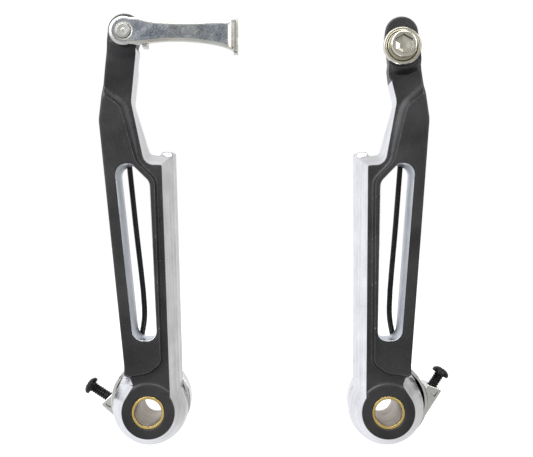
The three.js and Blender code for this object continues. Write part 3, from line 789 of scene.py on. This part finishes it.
def arm_skin(side):
    """One arm: its wall in rings from the front back, three holes, and the two faces."""
    skin = Skin()
    outlines = [arm_outline(side, EDGES[name]) for name in ("front", "bevel", "lip", "back")]
    front, bevel, lip, back = subdivide([points for points, _ in outlines], WALL_STEP)
    first, bare_from = outlines[0]
    start = int(np.argmin(np.linalg.norm(front - np.array(first[bare_from]), axis=1)))
    # The wall's finish is 0 where it is black and 1 where it is machined. The black edge is well
    # rounded and the machined one nearly sharp, and one runs smoothly into the other.
    finish = np.where(np.arange(len(front)) > start, 1, 0)
    edge_r = np.where(finish == 0, 0.55, 0.13)
    for _ in range(6):
        edge_r = (np.roll(edge_r, 1) + 2 * edge_r + np.roll(edge_r, -1)) / 4

    top = arm_front(front, side)
    bottom = arm_back(back)
    rim = top + edge_r
    deepest = bottom - 0.4        # the head is shallow, so there the rings gather at its back
    rings = rounded_edge(front, edge_r, top, edge_r, SOFT_EDGE)
    edge_rings = len(rings)
    for share in (0.25, 0.5, 0.75, 1.0):
        depths = rim + (np.minimum(BEVEL_DEPTH, deepest) - rim) * share
        rings.append((front + (bevel - front) * share, depths))
    for share in (0.2, 0.4, 0.6, 0.8, 1.0):
        depth = BEVEL_DEPTH + (LIP_DEPTH - BEVEL_DEPTH) * share
        rise = math.sin(math.pi / 2 * share)
        rings.append((bevel + (lip - bevel) * rise, np.minimum(depth, deepest + 0.02 * share)))
    rings.append(((lip + back) / 2, np.minimum((LIP_DEPTH + ARM_DEPTH) / 2, bottom - 0.36)))
    rings += rounded_edge(back, BACK_EDGE_R, bottom, -BACK_EDGE_R, PLAIN_EDGE)[::-1]
    ids = [skin.ring(*wall(*ring)) for ring in rings]
    for k, (a, b) in enumerate(zip(ids, ids[1:])):
        skin.band(a, b, finish if k + 1 >= edge_rings else 0)

    fastener = RIVET if side == "left" else ANCHOR
    fronts = [ids[0]]
    backs = [ids[-1]]
    holes = [                     # each with its edge's radius and its wall's finish
        (SLOT, 0.15, 2),
        (circle((0, 0), BUSH_R + SEAT, 72), 0.15, 0),
        (circle(fastener["at"], fastener["shank"] + FIT, 40), 0.2, 0),
    ]
    for path, r, kind in holes:
        path = subdivide([path], WALL_STEP)[0]
        top, bottom = arm_front(path, side), arm_back(path)
        rings = rounded_edge(path, -r, top, r, PLAIN_EDGE)
        rings.append((path, (top + bottom) / 2))
        rings += rounded_edge(path, -r, bottom, -r, PLAIN_EDGE)[::-1]
        hole_ids = [skin.ring(*wall(*ring)) for ring in rings]
        for a, b in zip(hole_ids, hole_ids[1:]):
            skin.band(a, b, kind)
        fronts.append(hole_ids[0])
        backs.append(hole_ids[-1])

    # The blind hole for the hook pin, from the back.
    pocket = circle(HOOK_PIN["at"], HOOK_PIN["r"] + SEAT, 32)
    mouth = skin.ring([(x, ARM_DEPTH, z) for x, z in pocket])
    floor = skin.ring([(x, HOOK_PIN["front"], z) for x, z in pocket])
    skin.band(mouth, floor)
    skin.face(floor)
    backs.append(mouth)

    skin.cap(fronts[0], fronts[1:], lambda xz: arm_front(xz, side), 0.9, 0, arm_guides(side))
    # Rows of points across the slope at the back of the head, so that the mesh follows it.
    foot = [np.stack([np.linspace(-16, 0, 40), np.full(40, HEAD_BACK_FOOT + d)], axis=1)
            for d in (-0.65, -0.35, 0.0, 0.35, 0.65)]
    skin.cap(backs[0], backs[1:], arm_back, 2.0, 0, foot)
    return skin


def build_arm(side, where):
    arm = new_object(f"{side}_arm_body_shell", arm_skin(side), where, [BLACK, BEVEL, WINDOW])
    install(arm, f"{side}_arm_body", f"{side}_arm")


# ---- Pivot ----

def build_bush(side, where):
    """A brass sleeve with a bore that shows wear and a bright ring at the bore's mouth."""
    skin = Skin()
    back = STACK_DEPTH - SEAT
    lathe(skin, [(BORE_R + 0.02, 0.2), (BORE_R + 0.14, 0.0, 0.1), (BUSH_R - 0.16, 0.0, 0.12),
                 (BUSH_R, 0.3), (BUSH_R, back - 0.3), (BUSH_R - 0.3, back),
                 (BORE_R + 0.3, back), (BORE_R, back - 0.3)])
    lathe(skin, [(BORE_R, back - 0.3), (BORE_R, 1.3)], finish=1)
    lathe(skin, [(BORE_R, 1.3), (BORE_R + 0.02, 0.2)], finish=2)
    bush = new_object(f"{side}_bush_sleeve", skin, where, [BRASS, BORE, STEEL])
    install(bush, f"{side}_arm_body", f"{side}_pivot_bush")


def build_washer(side, where):
    washer = drawn(f"{side}_thrust_ring", where, [NYLON], lathe, [
        (BUSH_R + FIT, WASHER_FRONT, 0.15), (HUB_R + 0.8, WASHER_FRONT, 0.25),
        (HUB_R + 0.8, WASHER_BACK, 0.25), (BUSH_R + FIT, WASHER_BACK, 0.15)], closed=True)
    install(washer, f"{side}_arm_body", f"{side}_thrust_washer")


# The pin that goes from the housing's floor into the frame's spring hole.
FRAME_PIN = {"at": (0, 9.3), "r": 1.4, "front": FLOOR_DEPTH + 0.15, "back": STACK_DEPTH + 5.0}


def build_pin(name, where, pin, body, node):
    front, back, r = pin["front"] + SEAT, pin["back"], pin["r"]
    piece = drawn(name, where, [STEEL], lathe, [
        (0, front), (r, front, 0.3), (r, back, 0.45), (0, back)], pin["at"], steps=40)
    install(piece, body, node)


# The cup is eccentric, with its centre at `cup`, and the lug grows wider by `spread` towards it.
SCREWS = {
    "left": {"angle": 33.0, "offset": 6.4, "reach": 19.0, "cup": (-0.7, 1.5), "spread": 1.6},
    "right": {"angle": 57.0, "offset": 10.4, "reach": 17.4, "cup": (-1.5, 1.0), "spread": 0.0},
}
SCREW = {"head": 2.75, "rise": 2.1, "r": 1.65, "length": 9.0, "depth": 17.3}
LUG = {"reach_above": 12.7, "reach_below": 13.9, "above": 2.0, "below": 2.8, "inside": 2.0,
       "depth": 2.9}
SCREW_HOLE = (-24, -6)            # from outside the lug to inside the cup
POCKET_DEPTH = 0.9                # of the triangular hollow in the lug's front


def turned_by(angle):
    """Turns a drawing in the x-z plane so that its -x end rises by an angle, in degrees."""
    c, s = math.cos(math.radians(angle)), math.sin(math.radians(angle))
    return lambda x, depth, z: (x * c + z * s, depth, -x * s + z * c)


def build_housing(side, where):
    """A cup round the spring, with a hub in it and a lug for the tension screw beside it."""
    screw = SCREWS[side]
    turn = turned_by(screw["angle"])
    low = -screw["offset"]
    lug_front = SCREW["depth"] - LUG["depth"]
    cavity_r = HOUSING_R - HOUSING_WALL
    sharp = (0.01, 0.01)
    finishes = [CHROME, OXIDE]
    cup = drawn(f"{side}_spring_cup", where, finishes, lathe, [
        (0, RIM_DEPTH), (HOUSING_R, RIM_DEPTH, 0.3), (HOUSING_R, HOUSING_TAPER_DEPTH, 3),
        (HOUSING_BACK_R, STACK_DEPTH, 0.8), (0, STACK_DEPTH)], screw["cup"])

    def add(*drawing, **options):
        combine(cup, drawn("added", where, finishes, *drawing, **options), "UNION")

    def cut(*drawing, **options):
        combine(cup, drawn("cut", where, finishes, *drawing, **options), "DIFFERENCE")

    lug = outline([
        (-LUG["reach_below"], low - LUG["below"], 0.8),
        (-LUG["reach_above"], low + LUG["above"], 0.6),
        (-LUG["inside"], low + LUG["above"]),
        (-LUG["inside"], low - LUG["below"] - screw["spread"])])
    add(slab, lug, [], lug_front, STACK_DEPTH - 0.6, (0.35, 0.35), turn=turn)
    # The room for the coil, and the hub in the middle of it.
    cut(lathe, [
        (0, RIM_DEPTH - 1), (cavity_r, RIM_DEPTH - 1), (cavity_r, HOUSING_TAPER_DEPTH, 3),
        (HOUSING_BACK_R - HOUSING_WALL, FLOOR_DEPTH, 0.6), (0, FLOOR_DEPTH)], screw["cup"])
    add(lathe, [
        (0, WASHER_BACK + SEAT), (HUB_R, WASHER_BACK + SEAT, 0.3), (HUB_R, FLOOR_DEPTH + 0.5),
        (0, FLOOR_DEPTH + 0.5)])
    # The holes for the bush and the screw.
    cut(slab, circle((0, 0), BUSH_R + FIT, 72), [], RIM_DEPTH - 2, STACK_DEPTH + 2, sharp)
    cut(slab, circle((0, 0), SCREW["r"] + FIT, 40), [], *SCREW_HOLE, sharp,
        turn=lambda u, w, v: turn(w, SCREW["depth"] + u, low + v))
    # The triangular pocket in the lug. Its walls are painted dark, black oxide standing for the
    # shade inside it.
    corner = -LUG["reach_below"] + 1.1
    pocket = outline([(corner, low - 2.0, 0.3), (corner + 2.2, low - 2.0, 0.3),
                      (corner + 1.7, low + 0.6, 0.3)])
    cut(slab, pocket, [], lug_front - 1, lug_front + POCKET_DEPTH, (0.05, 0.05), turn=turn,
        wall_finish=1)
    # The gate in the rim that lets the spring's leg out, and the hole for the frame pin.
    gate = [*arc((0, 0), HUB_R + 1.2, 78, 142, 10), *arc((0, 0), HOUSING_R + 4, 142, 78, 14)]
    cut(slab, gate, [], RIM_DEPTH - 2, RIM_DEPTH + 3.2, (0.05, 0.05))
    pin_r = FRAME_PIN["r"] + SEAT
    cut(lathe, [(0, FLOOR_DEPTH - 2), (pin_r, FLOOR_DEPTH - 2), (pin_r, STACK_DEPTH + 2),
                (0, STACK_DEPTH + 2)], FRAME_PIN["at"], steps=40)
    install(cup, "frame_side", f"{side}_spring_housing")


def build_spring(side, where):
    """A round wire: a coil round the housing's hub and a kinked leg up behind the arm."""
    bend, tip = np.array(LEG_KINK), np.array(LEG_TIP)
    reach = math.hypot(bend[0], bend[2])
    touch = math.atan2(bend[2], bend[0]) + math.acos(COIL_R / reach)
    line = []
    for i in range(COIL_STEPS * COIL_TURNS + 1):
        turn = COIL_TURNS - i / COIL_STEPS
        angle = touch + turn * 2 * math.pi
        line.append((COIL_R * math.cos(angle), COIL_FRONT + turn * COIL_PITCH,
                     COIL_R * math.sin(angle)))
    end = np.array(line[-1])
    line += [tuple(end + (bend - end) * 0.35), tuple(end + (bend - end) * 0.9),
             tuple(bend + (tip - bend) * 0.05), tuple(bend + (tip - bend) * 0.5), tuple(tip)]
    # The spline splits each stretch in four. The coil needs no more than every third point.
    path = np.array(spline(line, 4))
    coil_points = 4 * COIL_STEPS * COIL_TURNS
    path = np.vstack([path[:coil_points:3], path[coil_points:]])
    ahead = np.gradient(path, axis=0)
    ahead /= np.linalg.norm(ahead, axis=1, keepdims=True)
    up = np.cross(ahead[0], (0, 1, 0))
    turns = [(math.cos(a), math.sin(a)) for a in around(14)]
    loops = []
    for middle, forward, along in zip(path, ahead, travel(path)):
        up = up - forward * (up @ forward)
        up /= np.linalg.norm(up)
        across = np.cross(forward, up)
        loops.append(([middle + WIRE_R * (c * up + s * across) for c, s in turns],
                      [(c, s, along) for c, s in turns]))
    skin = Skin()

    def blunt_end(k, shift):
        """A smaller ring just past one end of the wire."""
        loop, grain = loops[k]
        return skin.ring([path[k] + 0.7 * (p - path[k]) + ahead[k] * shift for p in loop], grain)

    rings = [blunt_end(0, -0.25), *[skin.ring(*loop) for loop in loops], blunt_end(-1, 0.25)]
    for a, b in zip(rings, rings[1:]):
        skin.band(a, b)
    skin.face(rings[0])
    skin.face(rings[-1])
    spring = new_object(f"{side}_spring_wire", skin, where, [SPRING], sharp=50)
    coil_back = COIL_FRONT + COIL_TURNS * COIL_PITCH
    start, finish = where.world([(0, coil_back - 0.3, 0), (0, COIL_FRONT + 0.3, 0)])
    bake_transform(spring)
    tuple(start)
    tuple(finish)
    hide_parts(f"{side}_return_spring")


def build_screw(side, where):
    """A pan-head screw with a cross recess and a real thread. It is drawn along the depth, from
    the underside of its head, and then laid along its own axis."""
    head_r, rise, length = SCREW["head"], SCREW["rise"], SCREW["length"]
    crown = 1.1                   # how far the head's edge lies below its middle
    recess = 1.1
    half, thick = 2.0, 0.42       # of one bar of the cross
    arm = [(half, -thick), (half, thick), (thick, thick)]
    cross = np.array([(x * math.cos(a) - z * math.sin(a), x * math.sin(a) + z * math.cos(a))
                      for a in np.radians([10, 100, 190, 280]) for x, z in arm])

    def top(xz):
        dome = crown * (np.hypot(xz[:, 0], xz[:, 1]) / head_r) ** 3
        return dome - rise + recess * ease(distance(xz, cross) / 0.26)

    skin = Skin()
    steps = 48
    angles = around(steps)

    def ring(radii, s):
        places = np.stack([radii * np.cos(angles), np.full(steps, s), radii * np.sin(angles)], 1)
        return skin.ring(places)

    profile = outline([(head_r, crown - rise), (head_r, 0.0, 0.3), (SCREW["r"], 0.0)], closed=False)
    rings = [ring(r, s) for r, s in profile]
    guides = [subdivide([inset(cross, d)], 0.1)[0] for d in (-0.06, 0.02, 0.12, 0.24)]
    skin.cap(rings[0], [], top, 0.2, guides=guides)
    rows = int(length / THREAD_PITCH * 10)
    tip = 0.5                     # the end tapers over this length
    for s in np.linspace(0, length, rows + 1)[1:]:
        tooth = np.abs(2 * ((s / THREAD_PITCH - angles / (2 * math.pi)) % 1.0) - 1)
        fade = min(1.0, s / 0.4, (length - s) / tip)
        taper = 0.4 * max(0.0, 1 - (length - s) / tip)
        rings.append(ring(SCREW["r"] - THREAD_DEPTH * tooth * fade - taper, s))
    for a, b in zip(rings, rings[1:]):
        skin.band(a, b)
    skin.face(rings[-1])
    screw = SCREWS[side]
    turn = turned_by(screw["angle"])
    skin.points = [turn(s - screw["reach"], SCREW["depth"] + x, z - screw["offset"])
                   for x, s, z in skin.points]
    piece = new_object(f"{side}_screw_threaded", skin, where, [OXIDE], sharp=40)
    install(piece, f"{side}_screw_body", f"{side}_tension_screw")


# ---- Noodle link ----

# `stand` is how far the plate's end comes forward, in a hollow curve as wide as `cove`. `reach`
# is how far the end wall goes back.
LINK = {"front": -4.9, "back": -2.75, "eye": 4.25, "length": 33.4, "wall": 1.25, "top": 3.0,
        "bottom": -6.4, "stand": 1.3, "cove": 1.7, "reach": 7.2}


def build_link(where):
    """A pressed plate with its end wall bent back. The wall has a keyhole for the noodle."""
    ex, ez = RIVET["at"]
    wall_x = LINK["length"] - LINK["wall"]
    upper = spline([(4.0, 3.85), (9.0, 2.75), (19.0, 2.4), (wall_x, LINK["top"] - 0.15),
                    (LINK["length"], LINK["top"])], 9)
    lower = spline([(LINK["length"], LINK["bottom"]), (wall_x, LINK["bottom"] + 0.5),
                    (29.5, -4.8), (22.5, -3.5), (13.0, -3.1), (3.6, -4.1)], 9)
    edge = [*upper, *lower, *arc((0, 0), LINK["eye"], -68, -292, 40)]

    def seat_rise(xz):
        run = (xz[:, 0] - (wall_x - LINK["cove"])) / LINK["cove"]
        rise = 1 - np.sqrt(np.clip(1 - np.clip(run, 0, 1) ** 2, 0, 1))
        return -LINK["stand"] * rise

    def shift(x, depth, z):
        return x + ex, depth, z + ez

    def across(u, w, v):
        """Stands a drawing up in the end wall."""
        return shift(w, u, v)

    hole = circle((0, 0), RIVET["shank"] + FIT, 40)
    skin = Skin()
    slab(skin, edge, [hole], LINK["front"], LINK["back"],
         (lambda path: np.where(path[:, 0] > wall_x - 1.5, 0.2, 0.85), 0.45), seat_rise, 0.5, 0,
         shift, 1)
    warm_from = ex + wall_x - 1.9
    for k, face in enumerate(skin.faces):
        if min(skin.points[i][0] for i in face) > warm_from:
            skin.finish[k] = LINK_FINISHES.index(YELLOW_CHROME)
    link = new_object("noodle_link_pressed", skin, where, LINK_FINISHES)

    middle = (LINK["top"] + LINK["bottom"]) / 2
    radius = (LINK["top"] - LINK["bottom"]) / 2
    centre = LINK["back"] + LINK["reach"] - radius
    plate = [(LINK["back"] - 1.0, LINK["bottom"]), *arc((centre, middle), radius, -90, 90, 40),
             (LINK["back"] - 1.0, LINK["top"])]
    mouth = LINK["back"] + LINK["reach"] + 1.0
    keyhole = [*arc((centre, middle), 2.3, 32, 328, 40), (mouth, middle - 1.2),
               (mouth, middle + 1.2)]
    end_wall = drawn("end_wall", where, LINK_FINISHES, slab, plate, [], wall_x, LINK["length"],
                     turn=across, finish=1)
    cutter = drawn("keyhole", where, LINK_FINISHES, slab, keyhole, [], wall_x - 2,
                   LINK["length"] + 2, (0.01, 0.01), turn=across, finish=1)
    combine(end_wall, cutter, "DIFFERENCE")
    combine(link, end_wall, "UNION")

    # The tab behind the plate that stops the link against the head.
    tab = outline([(5.4, -4.6, 0.25), (5.4, -2.6), (6.9, -2.6), (6.9, -4.6, 0.25)])
    combine(link, drawn("tab", where, LINK_FINISHES, slab, tab, [], LINK["back"] - 0.9,
                        LINK["back"] + 3.6, (0.2, 0.2), turn=shift, finish=1), "UNION")
    install(link, "link_body", "noodle_link")


def build_rivet(where):
    top = LINK["front"] - 0.55
    under = LINK["front"] - SEAT
    back = HEAD_DEPTH + SEAT
    r, shank, peen = RIVET["r"], RIVET["shank"], RIVET["peen"]
    rivet = drawn("rivet_headed", where, [NICKEL_RIM], lathe, [
        (0, top - 0.02), (0.5, top - 0.02, 0.1), (0.6, top + 0.05, 0.1), (r - 0.5, top, 0.2),
        (r - 0.42, top + 0.06, 0.05), (r, top + 0.06, 0.12), (r, under, 0.1), (shank, under),
        (shank, back), (peen, back, 0.15), (peen - 0.4, HEAD_DEPTH + 0.75, 0.5),
        (1.2, HEAD_DEPTH + 0.9, 1.0), (0, HEAD_DEPTH + 0.9)], RIVET["at"])
    install(rivet, "left_arm_body", "link_rivet")


# ---- Cable anchor ----

CLAMP = {"r": 5.6, "rim": 4.95, "thickness": 1.9, "well": 0.7}
CLAMP_BACK = -HEAD_RISE - SEAT
CLAMP_FRONT = CLAMP_BACK - CLAMP["thickness"]


def build_clamp(where):
    inner = ANCHOR["shank"] + FIT
    well = CLAMP_FRONT + CLAMP["well"]
    r, rim = CLAMP["r"], CLAMP["rim"]
    washer = drawn("clamp_washer_dished", where, [YELLOW_CHROME], lathe, [
        (inner, well, 0.1), (rim - 0.75, well, 0.4), (rim - 0.2, CLAMP_FRONT, 0.25),
        (r - 0.25, CLAMP_FRONT, 0.2), (r, CLAMP_FRONT + 0.45, 0.3), (r, CLAMP_BACK, 0.25),
        (inner, CLAMP_BACK, 0.1)], ANCHOR["at"], closed=True)
    install(washer, "clamp_body", "clamp_washer")


def build_bolt(where):
    """A cap bolt. Every ring has as many points as the socket's hexagon is split into."""
    under = CLAMP_FRONT + CLAMP["well"] - SEAT
    top = under - ANCHOR["height"]
    steps = 96
    angles = np.radians(90 + np.arange(steps) * 360 / steps)
    corner = ANCHOR["flats"] / math.sqrt(3)
    local = (np.degrees(angles) - 90) % 60 - 30
    hexagon = corner * math.cos(math.radians(30)) / np.cos(np.radians(local))
    back = HEAD_DEPTH + 1.6
    head, shank = ANCHOR["head"], ANCHOR["shank"]
    crown_r = 0.5
    rows = [
        (0, top + 3.2), (0.5 * hexagon, top + 2.9), (hexagon, top + 2.6), (hexagon, top + 0.1),
        (hexagon + 0.1, top), (head - crown_r, top),
        *[(head - crown_r + crown_r * math.sin(a), top + crown_r * (1 - math.cos(a)))
          for a in np.radians([20, 45, 70, 90])],
        (head, under - 0.15), (head - 0.15, under), (shank, under),
        (shank, back - 0.6), (shank - 0.6, back), (0, back),
    ]
    skin = Skin()
    rings = []
    for row, depth in rows:
        radii = np.full(steps, row)
        x, z = radii * np.cos(angles), radii * np.sin(angles)
        points = np.stack([ANCHOR["at"][0] + x, np.full(steps, depth), ANCHOR["at"][1] + z], 1)
        grain = np.stack([x, z, radii + depth], axis=1)
        rings.append(skin.ring(points, grain))
    shaded_socket_band = 2               # the band of the hexagon's flats, painted dark as the shade inside the socket
    for k, (a, b) in enumerate(zip(rings, rings[1:])):
        skin.band(a, b, 1 if k == shaded_socket_band else 0)
    bolt = new_object("anchor_bolt_socket", skin, where, [YELLOW_CHROME, OXIDE])
    install(bolt, "bolt_body", "anchor_bolt")


# ---- Assembly ----

for side, lean in (("left", 0.0), ("right", RIGHT_LEAN)):
    swinging = Frame(side, lean)
    fixed = Frame(side)
    build_arm(side, swinging)
    build_bush(side, swinging)
    build_washer(side, swinging)
    build_pin(f"{side}_hook_pin_turned", swinging, HOOK_PIN, f"{side}_arm_body",
              f"{side}_spring_hook_pin")
    build_pin(f"{side}_frame_peg", fixed, FRAME_PIN, "frame_side", f"{side}_housing_pin")
    build_housing(side, fixed)
    build_spring(side, swinging)
    build_screw(side, fixed)
    if side == "left":
        build_link(swinging)
        build_rivet(swinging)
    else:
        build_clamp(swinging)
        build_bolt(swinging)

# ---- Studio ----

low, high = cad_box
floor_mesh = bpy.data.meshes.new("floor")
floor_mesh.from_pydata([(-3, -3, 0), (3, -3, 0), (3, 3, 0), (-3, 3, 0)], [], [(0, 1, 2, 3)])
floor = in_scene("floor", floor_mesh)
floor.location.z = low.z - 0.0015
# Pale paper that glows evenly. It doesn't light the arms and doesn't show in their metal.
floor.visible_diffuse = False
floor.visible_glossy = False
floor.visible_shadow = False
paper = Nodes(bpy.data.materials.new("paper"))
cloud = paper.noise(paper.place(), 40.0)
floor_mesh.materials.append(paper.done(
    Base_Color=paper.ramp(cloud, (0.38, 0.38, 0.38), (0.42, 0.42, 0.42)), Roughness=1.0,
    Specular_IOR_Level=0.0, Emission_Color=(1, 1, 1), Emission_Strength=0.84))


def build_world():
    """Soft light from all around, brighter from the left and from behind the arms, with a dark
    flag in front on the right. The camera sees plain white."""
    n = Nodes(bpy.data.worlds.new("studio"))
    direction = n.add("ShaderNodeTexCoord").outputs["Generated"]
    slope = n.dot(direction, (-0.30, 0.20, -0.08))
    flag = n.math("SUBTRACT", n.dot(direction, (0.76, -0.58, 0.29)), 0.80)
    shade = n.math("MINIMUM", n.math("MAXIMUM", n.math("MULTIPLY", flag, 5.0), 0.0), 0.5)
    seen = n.add("ShaderNodeLightPath").outputs["Is Camera Ray"]
    tint = n.ramp(n.math("ADD", slope, 0.5), (1.0, 0.985, 0.95), (0.94, 0.955, 1.0),
                  0.2, 0.8)
    light = n.math("SUBTRACT", n.math("ADD", slope, 0.72), shade)
    bpy.context.scene.world = n.done(Color=n.mix(seen, tint, (1, 1, 1)),
                                     Strength=n.math("MAXIMUM", light, seen))


build_world()
bpy.context.scene.view_settings.view_transform = "Standard"


def softbox(name, place, target, size, power):
    """A rectangular light, in metres and watts, that points at the target."""
    light = bpy.data.lights.new(name, "AREA")
    light.shape = "RECTANGLE"
    light.size, light.size_y = size
    light.energy = power
    obj = in_scene(name, light)
    obj.location = place
    aim = Vector(target) - Vector(place)
    obj.rotation_euler = aim.to_track_quat("-Z", "Y").to_euler()


centre = (low + high) / 2
softbox("key", (-0.40, -0.45, 0.45), centre, (0.5, 0.5), 3.6)
softbox("sky", (0.0, -0.20, 0.65), centre, (0.6, 0.3), 3.5)
softbox("fill", (0.45, -0.35, 0.30), centre, (0.4, 0.4), 1.6)

# The camera is level, square to the arms' front faces, and close enough to show perspective.
CAMERA_DISTANCE = 0.280           # from the front of the pivot bosses
VIEW_WIDTH = 0.1583               # at the bosses' front
VIEW_CENTRE = (0.0352, 0.0548)    # across and up from the left stud
boss_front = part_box("left_pivot_bush")[0].y
left_stud = Frame("left").stud
camera = bpy.data.cameras.new("camera")
camera.sensor_width = 36.0
camera.lens = 36.0 * CAMERA_DISTANCE / VIEW_WIDTH
camera.clip_start = 0.01
camera_object = in_scene("camera", camera)
camera_object.location = (left_stud[0] + VIEW_CENTRE[0], boss_front - CAMERA_DISTANCE,
                          left_stud[2] + VIEW_CENTRE[1])
camera_object.rotation_euler = (math.pi / 2, 0, 0)
bpy.context.scene.camera = camera_object
